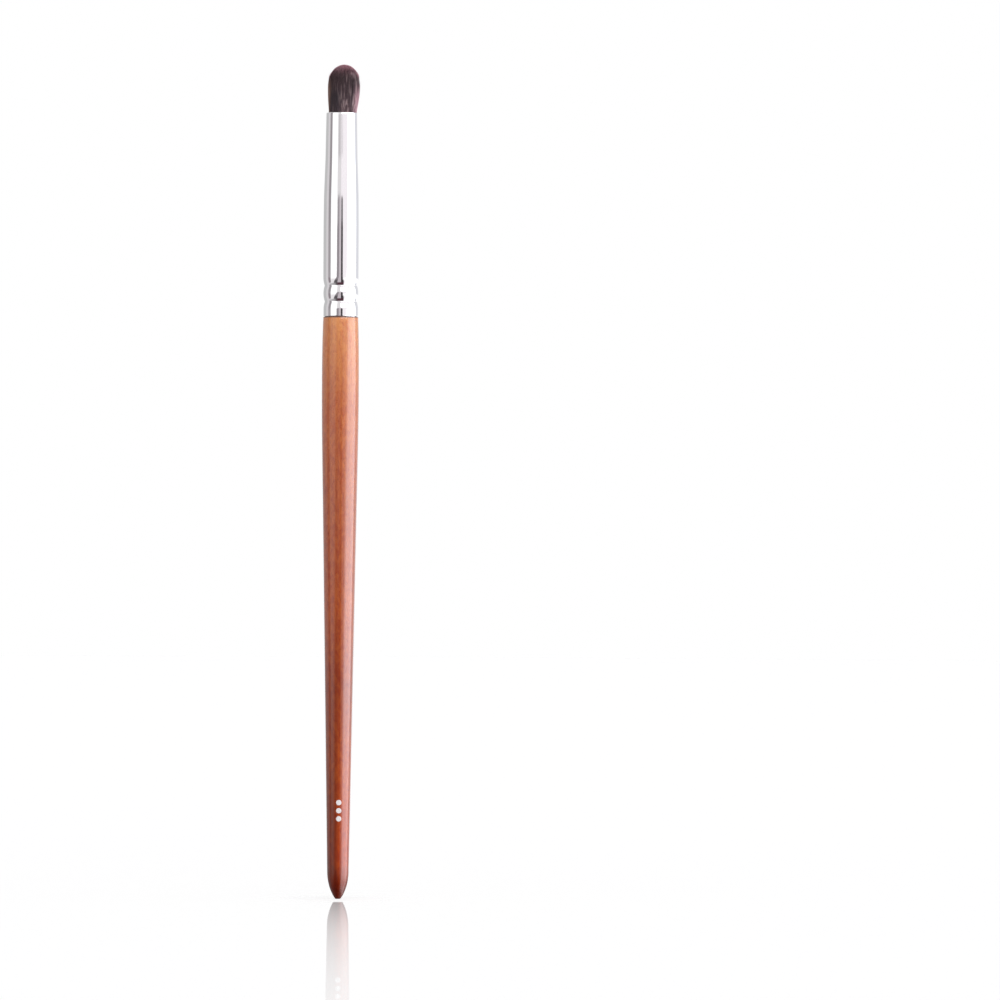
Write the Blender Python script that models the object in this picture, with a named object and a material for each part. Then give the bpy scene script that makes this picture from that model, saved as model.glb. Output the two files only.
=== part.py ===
"""A smudger brush, upright on its butt end, with the hair at the top.

Units are metres. The origin is the centre of the small flat on the butt end, and +Z runs along the
brush towards the hair. Inside the ferrule, from its foot up, are the handle's tenon with a film of
glue over its end, the resin plug, and the roots of the hair with the thread that ties them. Two
crimped grooves press the ferrule into the tenon.
"""

import math

import bmesh
import bpy
from mathutils import Vector

# Flat sides round every turned piece, the same on all, so that nested walls stay parallel
FACETS = 36

# Gaps between pieces that touch on the real brush
FIT_GAP = 0.0001
SEAT_GAP = 0.00012

# Handle, turned from one piece of wood
HANDLE_LENGTH = 0.1255
BUTT_FLAT_RADIUS = 0.0005
NOSE_LENGTH = 0.0060
NOSE_RADIUS = 0.00233
SWELL_RADIUS = 0.00365
SWELL_LENGTH = 0.0255
BELLY_RADIUS = 0.0040
BELLY_BELOW_SHOULDER = 0.0155
SHOULDER_LAP = 0.00002
TENON_CHAMFER = 0.0005
NOSE_POWER = 0.9
SHOULDER_POWER = 3.0
NOSE_STATION_SHARES = (0.04, 0.12, 0.24, 0.40, 0.60, 0.80, 1.0)
SWELL_STATION_SHARES = (0.25, 0.5, 0.75, 1.0)
SHOULDER_STATION_SHARES = (0.35, 0.6, 0.8, 0.92, 1.0)

# Ferrule, a plated tube with a tapered mouth and two crimped grooves
FERRULE_LENGTH = 0.0441
FERRULE_WALL = 0.0003
FOOT_RADIUS = 0.00375
BARREL_RADIUS = 0.00383
MOUTH_RADIUS = 0.00333
TAPER_LENGTH = 0.0235
GROOVE_COUNT = 2
FIRST_GROOVE_HEIGHT = 0.0033
GROOVE_SPACING = 0.00345
GROOVE_DEPTH = 0.00025
GROOVE_WIDTH = 0.0020
GROOVE_STATION_SHARES = (-0.5, -0.3, -0.15, 0.0, 0.15, 0.3, 0.5)
TAPER_STATION_SHARES = (0.2, 0.4, 0.6, 0.8)
LIP_STEPS = 4

# Glue between the tenon and the ferrule, pooled over the tenon's end
GLUED_LENGTH = 0.0047
GLUE_FILM = 0.00015
GLUE_POOL = 0.0005

# Resin plug that the hair roots are set in
RESIN_FLOOR = 0.0035
RESIN_WALL = 0.00035
ROOT_SOCKET_DEPTH = 0.0045

# Thread tied round the hair roots
THREAD_RADIUS = 0.0002
THREAD_TURNS = 4
THREAD_PITCH = 0.00085
THREAD_ROOM = 0.00025
THREAD_POINTS_PER_TURN = 24
THREAD_BEVEL_RESOLUTION = 1

# Hair roots, packed solid inside the ferrule
WAIST_SLOPE = 0.0008
BUNDLE_FLARE = 0.0030
SLICE_RECESS = 0.0004
BUNDLE_STATION_SHARES = (0.35, 0.7)

# Free hair above the ferrule's mouth
TUFT_LENGTH = 0.0103
DOME_HEIGHT = 0.00465
TUFT_RADIUS = 0.00347
STRAND_COUNT = 380
STRAND_SIDES = 3
STRAND_SUNK = 0.0003
STRAND_FILL_SHARE = 0.72
STRAND_RING_SHARES = (0.45, 0.88)
TIP_GATHER_SHARE = 0.93
TIP_THICKNESS_SHARE = 0.85
GOLDEN_ANGLE = math.pi * (3 - math.sqrt(5))

# Colours as linear red, green and blue
WOOD_COLOUR = (0.36, 0.10, 0.035)
METAL_COLOUR = (0.86, 0.86, 0.87)
HAIR_COLOUR = (0.045, 0.026, 0.030)
RESIN_COLOUR = (0.62, 0.42, 0.16)
THREAD_COLOUR = (0.72, 0.68, 0.60)
GLUE_COLOUR = (0.78, 0.72, 0.52)


def clear_scene():
    """Removes every object, so that only the brush is left."""
    for old in list(bpy.data.objects):
        bpy.data.objects.remove(old)


def finish(name, colour, roughness, metallic):
    """A plain Principled material of one colour."""
    material = bpy.data.materials.new(name)
    material.use_nodes = True
    shader = material.node_tree.nodes["Principled BSDF"]
    shader.inputs["Base Color"].default_value = (*colour, 1)
    shader.inputs["Roughness"].default_value = roughness
    shader.inputs["Metallic"].default_value = metallic
    return material


def smooth(share):
    """Eases from 0 to 1, level at both ends, and stays there outside them."""
    share = min(1, max(0, share))
    return share * share * (3 - 2 * share)


def blend(first, last, share):
    """The value that lies this share of the way from first to last."""
    return first + (last - first) * share


def ring_arm(radius, turn):
    """The level step of this length from a ring's middle towards this turn."""
    return Vector((radius * math.cos(turn), radius * math.sin(turn), 0))


def collar_height():
    """Height above the ferrule's foot at which the crimped stretch ends and the barrel starts."""
    return FIRST_GROOVE_HEIGHT + GROOVE_SPACING * GROOVE_COUNT


def groove_heights():
    """Height of each groove's middle above the ferrule's foot."""
    return [FIRST_GROOVE_HEIGHT + GROOVE_SPACING * count for count in range(GROOVE_COUNT)]


def ferrule_radius(height):
    """Outer radius of the ferrule at a height above its foot."""
    radius = blend(FOOT_RADIUS, BARREL_RADIUS, smooth(height / collar_height()))
    taper = smooth((height - FERRULE_LENGTH + TAPER_LENGTH) / TAPER_LENGTH)
    radius += (MOUTH_RADIUS - BARREL_RADIUS) * taper
    for groove in groove_heights():
        offset = min(1, abs(height - groove) * 2 / GROOVE_WIDTH)
        radius -= GROOVE_DEPTH * (1 + math.cos(math.pi * offset)) / 2
    return radius


def lining_radius(height):
    """Radius of a piece that lines the ferrule's bore at a height above its foot."""
    return ferrule_radius(height) - FERRULE_WALL - FIT_GAP


def crimped_stations():
    """Heights above the ferrule's foot that its crimped stretch needs, from the foot to the barrel."""
    heights = [0]
    for groove in groove_heights():
        heights += [groove + share * GROOVE_WIDTH for share in GROOVE_STATION_SHARES]
    return heights + [collar_height()]


def turned(name, outline, material, closed=False):
    """Spins an outline of (radius, height) points about Z.

    An open outline gets a flat cap at each end. A closed one makes a ring.
    """
    shape = bmesh.new()
    corners = [shape.verts.new((radius, 0, height)) for radius, height in outline]
    edges = [shape.edges.new(pair) for pair in zip(corners, corners[1:])]
    if closed:
        edges.append(shape.edges.new((corners[-1], corners[0])))
    bmesh.ops.spin(
        shape,
        geom=corners + edges,
        cent=(0, 0, 0),
        axis=(0, 0, 1),
        angle=math.tau,
        steps=FACETS,
        use_merge=True,
    )
    if not closed:
        rims = [edge for edge in shape.edges if edge.is_boundary]
        bmesh.ops.holes_fill(shape, edges=rims, sides=0)
    bmesh.ops.recalc_face_normals(shape, faces=shape.faces)
    mesh = bpy.data.meshes.new(name)
    shape.to_mesh(mesh)
    shape.free()
    mesh.materials.append(material)
    mesh.shade_smooth()
    mesh.set_sharp_from_angle(angle=math.radians(30))
    piece = bpy.data.objects.new(name, mesh)
    bpy.context.scene.collection.objects.link(piece)
    return piece


def tenon_top():
    """Height above the ferrule's foot of the tenon's flat end."""
    return collar_height() + GLUED_LENGTH


def handle_outline():
    """Half section of the handle: nose, cone, belly, shoulder and the tenon inside the ferrule."""
    belly_height = HANDLE_LENGTH - BELLY_BELOW_SHOULDER
    swell_height = belly_height - SWELL_LENGTH
    cone_slope = (SWELL_RADIUS - NOSE_RADIUS) / (swell_height - NOSE_LENGTH)
    swell_slope = cone_slope * SWELL_LENGTH
    shoulder_radius = FOOT_RADIUS + SHOULDER_LAP
    points = [(BUTT_FLAT_RADIUS, 0)]
    for share in NOSE_STATION_SHARES:
        fullness = (1 - (1 - share) ** 2) ** NOSE_POWER
        radius = BUTT_FLAT_RADIUS + (NOSE_RADIUS - BUTT_FLAT_RADIUS) * fullness
        points.append((radius, NOSE_LENGTH * share))
    points.append((SWELL_RADIUS, swell_height))
    for share in SWELL_STATION_SHARES:
        lead_in = share * (1 - share) ** 2 * swell_slope
        radius = blend(SWELL_RADIUS, BELLY_RADIUS, smooth(share)) + lead_in
        points.append((radius, swell_height + SWELL_LENGTH * share))
    for share in SHOULDER_STATION_SHARES:
        radius = blend(BELLY_RADIUS, shoulder_radius, share**SHOULDER_POWER)
        points.append((radius, belly_height + BELLY_BELOW_SHOULDER * share))
    foot = HANDLE_LENGTH + SEAT_GAP
    points.append((lining_radius(0), HANDLE_LENGTH))
    for height in crimped_stations()[1:]:
        points.append((lining_radius(height), foot + height))
    glued_radius = lining_radius(collar_height()) - GLUE_FILM - FIT_GAP
    points.append((glued_radius, foot + collar_height()))
    points.append((glued_radius, foot + tenon_top() - TENON_CHAMFER))
    points.append((glued_radius - TENON_CHAMFER, foot + tenon_top()))
    return points


def make_handle(wood):
    """The handle, with the tenon that the ferrule is crimped onto."""
    return turned("handle", handle_outline(), wood)


def make_ferrule(metal):
    """The ferrule: a thin tube with a rounded lip, following the crimps inside and out."""
    foot = HANDLE_LENGTH + SEAT_GAP
    lip = FERRULE_WALL / 2
    taper_foot = FERRULE_LENGTH - TAPER_LENGTH
    heights = crimped_stations() + [taper_foot]
    heights += [taper_foot + TAPER_LENGTH * share for share in TAPER_STATION_SHARES]
    outer = [(ferrule_radius(height), foot + height) for height in heights]
    bore = [(ferrule_radius(height) - FERRULE_WALL, foot + height) for height in heights]
    mouth_centre = ferrule_radius(FERRULE_LENGTH) - lip
    rim = []
    for step in range(LIP_STEPS + 1):
        angle = math.pi * step / LIP_STEPS
        height = foot + FERRULE_LENGTH - lip + lip * math.sin(angle)
        rim.append((mouth_centre + lip * math.cos(angle), height))
    return turned("ferrule", outer + rim + bore[::-1], metal, closed=True)


def glue_top():
    """Height above the ferrule's foot of the top of the pooled glue."""
    return tenon_top() + FIT_GAP + GLUE_POOL


def make_glue(glue):
    """The glue: a cup over the tenon's end, with a thin skirt between the tenon and the ferrule."""
    foot = HANDLE_LENGTH + SEAT_GAP
    skirt_foot = foot + collar_height() + FIT_GAP
    outer = lining_radius(collar_height())
    inner = outer - GLUE_FILM
    ceiling = foot + tenon_top() + FIT_GAP
    outline = [
        (lining_radius(glue_top()), foot + glue_top()),
        (outer, skirt_foot),
        (inner, skirt_foot),
        (inner, ceiling - TENON_CHAMFER),
        (inner - TENON_CHAMFER, ceiling),
    ]
    return turned("tenon_glue", outline, glue)


def resin_top():
    """Height above the ferrule's foot of the top of the resin plug."""
    return glue_top() + FIT_GAP + RESIN_FLOOR + ROOT_SOCKET_DEPTH


def root_radius():
    """Radius of the roots of the hair where they stand in the resin plug."""
    return lining_radius(resin_top()) - RESIN_WALL - FIT_GAP


def make_resin(resin):
    """The resin plug: a cup that the roots of the hair stand in."""
    foot = HANDLE_LENGTH + SEAT_GAP
    bottom = glue_top() + FIT_GAP
    floor = bottom + RESIN_FLOOR
    socket = root_radius() + FIT_GAP
    outline = [
        (lining_radius(bottom), foot + bottom),
        (lining_radius(floor), foot + floor),
        (lining_radius(resin_top()), foot + resin_top()),
        (socket, foot + resin_top()),
        (socket, foot + floor),
    ]
    return turned("root_resin_plug", outline, resin)


def coil_foot():
    """Height above the ferrule's foot of the thread's first turn, at the middle of the thread."""
    return resin_top() + FIT_GAP + THREAD_RADIUS


def coil_top():
    """Height above the ferrule's foot of the thread's last turn, at the middle of the thread."""
    return coil_foot() + THREAD_TURNS * THREAD_PITCH


def coil_radius():
    """Radius of the middle of the thread's turns, which lie clear of the ferrule's bore."""
    return lining_radius(coil_top()) - THREAD_ROOM - THREAD_RADIUS


def make_thread(thread):
    """The binding thread: one unbroken tube wound round the waist of the roots."""
    foot = HANDLE_LENGTH + SEAT_GAP
    count = THREAD_TURNS * THREAD_POINTS_PER_TURN
    route = []
    for step in range(count + 1):
        angle = math.tau * step / THREAD_POINTS_PER_TURN
        height = blend(foot + coil_foot(), foot + coil_top(), step / count)
        route.append(ring_arm(coil_radius(), angle) + Vector((0, 0, height)))
    curve = bpy.data.curves.new("binding_thread", "CURVE")
    curve.dimensions = "3D"
    curve.bevel_depth = THREAD_RADIUS
    curve.bevel_resolution = THREAD_BEVEL_RESOLUTION
    curve.use_fill_caps = True
    spline = curve.splines.new("POLY")
    spline.points.add(len(route) - 1)
    for point, place in zip(spline.points, route):
        point.co = (*place, 1)
    curve.materials.append(thread)
    piece = bpy.data.objects.new("binding_thread", curve)
    bpy.context.scene.collection.objects.link(piece)
    half_turn = THREAD_POINTS_PER_TURN // 2
    apart = min(
        (route[first] - route[second]).length
        for first in range(len(route))
        for second in range(first + half_turn, len(route))
    )
    print(f"binding thread: least gap to itself {(apart - 2 * THREAD_RADIUS) * 1000:.2f} mm")
    return piece


def tuft_outline_radius(height):
    """Outer radius of the tuft at a height above the ferrule's mouth, up to where the dome starts.

    It starts inside the flats of the bundle that the strands grow from.
    """
    base = lining_radius(FERRULE_LENGTH) * math.cos(math.pi / FACETS)
    rise = min(1, max(0, height / (TUFT_LENGTH - DOME_HEIGHT)))
    return blend(base, TUFT_RADIUS, math.sin(math.pi / 2 * rise))


def strand_stations(root_share, angle):
    """Middle and radius of one strand at each of its rings, then its tip.

    Every strand keeps its own share of the tuft's radius, so no two of them cross.
    """
    mouth = HANDLE_LENGTH + SEAT_GAP + FERRULE_LENGTH
    dome_foot = TUFT_LENGTH - DOME_HEIGHT
    tip_share = root_share * TIP_GATHER_SHARE
    tip_height = dome_foot + DOME_HEIGHT * math.sqrt(1 - tip_share**2)
    foot = -SLICE_RECESS - STRAND_SUNK
    stations = []
    for share in (0, *STRAND_RING_SHARES, 1):
        height = blend(foot, tip_height, share)
        outline = tuft_outline_radius(height)
        over_dome = smooth((height - dome_foot) / (tip_height - dome_foot))
        thickness = blend(1, TIP_THICKNESS_SHARE, over_dome)
        radius = STRAND_FILL_SHARE * outline / math.sqrt(STRAND_COUNT) * thickness
        reach = (outline - radius) * blend(root_share, tip_share, over_dome)
        middle = ring_arm(reach, angle) + Vector((0, 0, mouth + height))
        stations.append((middle, radius))
    return stations


def grow_strand(shape, stations, angle):
    """Skins one strand over its rings, with a flat foot and a pointed tip."""
    *stem, (tip, _) = stations
    turns = [angle + math.tau * side / STRAND_SIDES for side in range(STRAND_SIDES)]
    rings = [
        [shape.verts.new(middle + ring_arm(radius, turn)) for turn in turns]
        for middle, radius in stem
    ]
    shape.faces.new(rings[0][::-1])
    point = shape.verts.new(tip)
    for side in range(STRAND_SIDES):
        following = (side + 1) % STRAND_SIDES
        for lower, upper in zip(rings, rings[1:]):
            shape.faces.new((lower[side], lower[following], upper[following], upper[side]))
        shape.faces.new((rings[-1][side], rings[-1][following], point))


def make_strands(hair):
    """All the free hair, laid out like the seeds of a sunflower: a helper that the tuft takes in."""
    shape = bmesh.new()
    for count in range(STRAND_COUNT):
        root_share = math.sqrt((count + 0.5) / STRAND_COUNT)
        angle = count * GOLDEN_ANGLE
        grow_strand(shape, strand_stations(root_share, angle), angle)
    mesh = bpy.data.meshes.new("strands")
    shape.to_mesh(mesh)
    shape.free()
    mesh.materials.append(hair)
    strands = bpy.data.objects.new("strands", mesh)
    bpy.context.scene.collection.objects.link(strands)
    strands.hide_render = True
    strands.display_type = "WIRE"
    return strands


def make_tuft(hair):
    """The hair as one body: roots packed inside the ferrule, and free strands above its mouth."""
    foot = HANDLE_LENGTH + SEAT_GAP
    root_end = resin_top() - ROOT_SOCKET_DEPTH + FIT_GAP
    waist_radius = coil_radius() - THREAD_RADIUS - FIT_GAP
    waist_top = coil_top() + THREAD_RADIUS + FIT_GAP
    flared = waist_top + BUNDLE_FLARE
    slice_top = FERRULE_LENGTH - SLICE_RECESS
    outline = [
        (root_radius(), foot + root_end),
        (root_radius(), foot + resin_top() - WAIST_SLOPE),
        (waist_radius, foot + resin_top()),
        (waist_radius, foot + waist_top),
        (lining_radius(flared), foot + flared),
    ]
    for share in BUNDLE_STATION_SHARES:
        height = blend(flared, slice_top, share)
        outline.append((lining_radius(height), foot + height))
    outline.append((lining_radius(slice_top), foot + slice_top))
    tuft = turned("bristle_tuft", outline, hair)
    joined = tuft.modifiers.new("free hair", "BOOLEAN")
    joined.operation = "UNION"
    joined.object = make_strands(hair)
    return tuft


def main():
    """Builds the brush from the handle up."""
    clear_scene()
    make_handle(finish("lacquered wood", WOOD_COLOUR, roughness=0.25, metallic=0))
    make_ferrule(finish("plated metal", METAL_COLOUR, roughness=0.08, metallic=1))
    make_glue(finish("glue", GLUE_COLOUR, roughness=0.3, metallic=0))
    make_resin(finish("resin", RESIN_COLOUR, roughness=0.2, metallic=0))
    make_thread(finish("thread", THREAD_COLOUR, roughness=0.8, metallic=0))
    make_tuft(finish("hair", HAIR_COLOUR, roughness=0.5, metallic=0))


main()
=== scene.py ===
"""Looks of the smudger brush: turned handle, crimped ferrule, domed hair and the studio round them.

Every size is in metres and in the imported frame: the brush stands upright on the middle of its butt.
"""

import logging
import math
from collections.abc import Callable, Mapping, Sequence
from dataclasses import dataclass
from enum import Enum
from typing import Any

import bmesh
import bpy
from mathutils import Matrix, Vector

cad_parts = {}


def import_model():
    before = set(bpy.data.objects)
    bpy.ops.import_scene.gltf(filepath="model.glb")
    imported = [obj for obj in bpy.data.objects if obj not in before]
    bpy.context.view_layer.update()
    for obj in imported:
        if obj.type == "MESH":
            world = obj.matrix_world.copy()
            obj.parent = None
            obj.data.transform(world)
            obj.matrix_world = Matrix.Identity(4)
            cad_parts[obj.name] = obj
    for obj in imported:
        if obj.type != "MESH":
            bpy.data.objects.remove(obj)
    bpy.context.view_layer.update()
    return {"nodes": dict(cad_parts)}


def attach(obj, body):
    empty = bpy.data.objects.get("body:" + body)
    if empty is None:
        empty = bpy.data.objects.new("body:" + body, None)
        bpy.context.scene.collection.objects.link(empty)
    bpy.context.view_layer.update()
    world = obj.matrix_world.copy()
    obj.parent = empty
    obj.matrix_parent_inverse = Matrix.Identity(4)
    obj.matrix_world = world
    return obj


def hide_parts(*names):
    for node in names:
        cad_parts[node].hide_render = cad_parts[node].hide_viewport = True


LOG = logging.getLogger("smudger_brush")
BODY = "root"
MM_PER_METRE = 1000.0
FIT_GAP = 0.0001
GOLDEN_ANGLE = math.pi * (3 - math.sqrt(5))
QUARTER_TURN = math.pi / 2
ZENITH = 90.0
SHARP_ANGLE = math.radians(32)
WHITE = (1.0, 1.0, 1.0, 1.0)
MAUVE = (1.0, 0.9, 0.96, 1.0)
COOL = (0.97, 1.03, 1.10, 1.0)

Colour = tuple[float, float, float, float]
Triple = tuple[float, float, float]
Span = tuple[float, float]
Ring = tuple[float, float]


class Slot(Enum):
    """The record's material slots."""

    WOOD = "lacquered_wood"
    METAL = "plated_metal"
    HAIR = "hair"
    RESIN = "resin"
    THREAD = "thread"
    GLUE = "glue"


# Small sums


def smooth(share: float) -> float:
    """Eases from 0 to 1, level at both ends, and stays there outside them."""
    share = min(1.0, max(0.0, share))
    return share * share * (3 - 2 * share)


def blend(first: float, last: float, share: float) -> float:
    """The value that lies this share of the way from first to last."""
    return first + (last - first) * share


def steps(first: float, last: float, count: int) -> list[float]:
    """Evenly spaced values from first to last, both included."""
    return [blend(first, last, step / count) for step in range(count + 1)]


def swatch(code: str) -> Colour:
    """A screen colour code as a linear colour.

    Args:
        code: Six hexadecimal digits, red first.

    Returns:
        The linear colour with an alpha of 1.
    """
    channels = []
    for place in (0, 2, 4):
        value = int(code[place : place + 2], 16) / 255
        channels.append(value / 12.92 if value <= 0.04045 else ((value + 0.055) / 1.055) ** 2.4)
    return (channels[0], channels[1], channels[2], 1.0)


# Node recipes


class Wire:
    """A value in a node tree, on which Python's operators add Math nodes."""

    def __init__(self, recipe: "Recipe", socket: bpy.types.NodeSocket) -> None:
        """Keeps the recipe that makes its nodes, and the socket it stands for."""
        self.recipe = recipe
        self.socket = socket

    def __add__(self, other: "Wire | float") -> "Wire":
        """This value plus another."""
        return self.recipe.math("ADD", self, other)

    def __radd__(self, other: float) -> "Wire":
        """A number plus this value."""
        return self.recipe.math("ADD", other, self)

    def __sub__(self, other: "Wire | float") -> "Wire":
        """This value less another."""
        return self.recipe.math("SUBTRACT", self, other)

    def __rsub__(self, other: float) -> "Wire":
        """A number less this value."""
        return self.recipe.math("SUBTRACT", other, self)

    def __mul__(self, other: "Wire | float") -> "Wire":
        """This value times another."""
        return self.recipe.math("MULTIPLY", self, other)

    def __rmul__(self, other: float) -> "Wire":
        """A number times this value."""
        return self.recipe.math("MULTIPLY", other, self)

    def __truediv__(self, other: "Wire | float") -> "Wire":
        """This value divided by another."""
        return self.recipe.math("DIVIDE", self, other)

    def __pow__(self, other: float) -> "Wire":
        """This value to a power."""
        return self.recipe.math("POWER", self, other)

    def apply(self, operation: str) -> "Wire":
        """The result of a Math node with one value, such as a sine."""
        return self.recipe.math(operation, self)

    def limited(self, lowest: float, highest: float) -> "Wire":
        """This value, kept between two others."""
        return self.recipe.math("MINIMUM", self.recipe.math("MAXIMUM", self, lowest), highest)

    def eased(self, start: "Wire | float", end: "Wire | float") -> "Wire":
        """Rises smoothly from 0 at start to 1 at end, and falls where start is the higher."""
        share = ((self - start) / (end - start)).limited(0.0, 1.0)
        return share * share * (3.0 - 2.0 * share)


class Recipe:
    """Adds nodes to one tree and links them."""

    def __init__(self, tree: bpy.types.NodeTree) -> None:
        """Keeps the tree that the nodes go into."""
        self.tree = tree

    @staticmethod
    def pick(sockets: Sequence[bpy.types.NodeSocket], key: str | int) -> bpy.types.NodeSocket:
        """Finds a socket.

        Args:
            sockets: A node's inputs or its outputs.
            key: The socket's place among them, or its name.

        Returns:
            The socket, or the first one in use where several have the name.
        """
        if isinstance(key, int):
            return sockets[key]
        return next(socket for socket in sockets if socket.name == key and socket.enabled)

    def node(
        self,
        kind: str,
        settings: Mapping[str, Any] | None = None,
        sockets: Mapping[str | int, Any] | None = None,
        out: str | int = 0,
    ) -> Wire:
        """Adds one node.

        Args:
            kind: Blender's name for the type of node.
            settings: The node's own settings, which are set before its sockets.
            sockets: Values or links for its inputs, by name or place.
            out: The output that is wanted, by name or place.

        Returns:
            The wanted output.
        """
        made = self.tree.nodes.new(kind)
        for name, value in (settings or {}).items():
            if name == "stops":
                self.set_stops(made.color_ramp, value)
            else:
                setattr(made, name, value)
        for key, value in (sockets or {}).items():
            self.feed(self.pick(made.inputs, key), value)
        return Wire(self, self.pick(made.outputs, out))

    def feed(self, socket: bpy.types.NodeSocket, value: Any) -> None:
        """Gives an input what it reads.

        Args:
            socket: The input.
            value: A wire to link to it, or its own value.
        """
        if isinstance(value, Wire):
            self.tree.links.new(value.socket, socket)
        else:
            socket.default_value = value

    @staticmethod
    def set_stops(ramp: bpy.types.ColorRamp, stops: Sequence[tuple[float, Colour]]) -> None:
        """Gives a colour ramp its stops.

        Args:
            ramp: The ramp, with Blender's own two stops.
            stops: Place and colour of each stop, from the first to the last.
        """
        while len(ramp.elements) < len(stops):
            ramp.elements.new(1.0)
        for element, (position, colour) in zip(ramp.elements, stops):
            element.position = position
            element.color = colour

    def math(self, operation: str, *values: Wire | float) -> Wire:
        """A Math node on one or more values."""
        return self.node("ShaderNodeMath", {"operation": operation}, dict(enumerate(values)))

    def vector(self, x: Wire | float, y: Wire | float, z: Wire | float) -> Wire:
        """A vector from its three values."""
        return self.node("ShaderNodeCombineXYZ", None, {"X": x, "Y": y, "Z": z})

    def split(self, vector: Wire) -> tuple[Wire, Wire, Wire]:
        """The three values of a vector."""
        first = self.node("ShaderNodeSeparateXYZ", None, {"Vector": vector})
        return first, *(Wire(self, first.socket.node.outputs[name]) for name in ("Y", "Z"))

    def stretched(self, vector: Wire, factors: Triple) -> Wire:
        """A vector times a fixed factor in each direction."""
        return self.node("ShaderNodeVectorMath", {"operation": "MULTIPLY"}, {0: vector, 1: factors})

    def mix(
        self,
        share: Wire | float,
        first: Wire | Colour,
        second: Wire | Colour,
        mode: str = "MIX",
    ) -> Wire:
        """Mixes two colours.

        Args:
            share: How far the result lies towards the second colour.
            first: The colour at a share of 0.
            second: The colour at a share of 1.
            mode: How the second colour acts on the first.

        Returns:
            The mixed colour.
        """
        settings = {"data_type": "RGBA", "blend_type": mode, "clamp_factor": True}
        return self.node("ShaderNodeMix", settings, {0: share, 6: first, 7: second}, out=2)

    def shaded(self, share: Wire, colour: Wire, shade: Colour) -> Wire:
        """A colour that goes to a shade of itself as a share goes from 0 to 1."""
        return self.mix(share, colour, self.mix(1.0, colour, shade, mode="MULTIPLY"))

    def toned(self, share: Wire, colour: Wire, shade: Colour, light: Colour) -> Wire:
        """A colour that goes from a shaded to a lit tone of itself as a share goes from 0 to 1."""
        dark, pale = (self.mix(1.0, colour, tone, mode="MULTIPLY") for tone in (shade, light))
        return self.mix(share, dark, pale)

    def noise(
        self,
        vector: Wire,
        scale: float | Triple,
        detail: float = 3.0,
        roughness: float = 0.55,
        bend: float = 0.0,
    ) -> Wire:
        """A smooth random pattern from 0 to 1.

        Args:
            vector: Where the pattern is read.
            scale: Patches in each unit of the vector, or in each unit of its three directions.
            detail: Layers of finer pattern.
            roughness: Strength of the finer layers.
            bend: How far the pattern warps itself.

        Returns:
            The pattern's value.
        """
        if isinstance(scale, tuple):
            vector = self.stretched(vector, scale)
            scale = 1.0
        sockets = {"Vector": vector, "Scale": scale, "Detail": detail, "Roughness": roughness}
        sockets["Distortion"] = bend
        return self.node("ShaderNodeTexNoise", None, sockets)

    def ramp(self, value: Wire, *stops: tuple[float, Colour]) -> Wire:
        """A colour that changes with a value from 0 to 1."""
        return self.node("ShaderNodeValToRGB", {"stops": stops}, {"Fac": value})

    def random(self, lowest: float, highest: float, number: Wire, seed: int) -> Wire:
        """A random value of its own for each whole number, always the same for one seed."""
        sockets = {"Min": lowest, "Max": highest, "ID": number, "Seed": seed}
        return self.node("FunctionNodeRandomValue", {"data_type": "FLOAT"}, sockets, out="Value")


class Surface:
    """A new material with one Principled shader, and a recipe for what feeds it."""

    def __init__(self, name: str, **constants: float | Colour) -> None:
        """Starts the material, and reads the place on the object in millimetres.

        Args:
            name: The material's name.
            constants: Values of the shader's own sockets, with underscores for spaces.
        """
        self.material = bpy.data.materials.new(name)
        self.material.use_nodes = True
        self.shader = self.material.node_tree.nodes["Principled BSDF"]
        self.recipe = Recipe(self.material.node_tree)
        for socket, value in constants.items():
            self.shader.inputs[socket.replace("_", " ")].default_value = value
        place = self.recipe.node("ShaderNodeTexCoord", None, None, out="Object")
        self.place = self.recipe.stretched(place, (MM_PER_METRE, MM_PER_METRE, MM_PER_METRE))

    def feed(self, name: str, value: Wire) -> None:
        """Links a value to one of the shader's sockets."""
        self.recipe.feed(self.shader.inputs[name], value)

    def bump(self, height: Wire, depth: float, strength: float = 1.0) -> None:
        """Raises and sinks the surface's shading by a pattern, which is this deep in metres."""
        sockets = {"Height": height, "Distance": depth, "Strength": strength}
        self.feed("Normal", self.recipe.node("ShaderNodeBump", None, sockets, out="Normal"))


# Finishes


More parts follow.
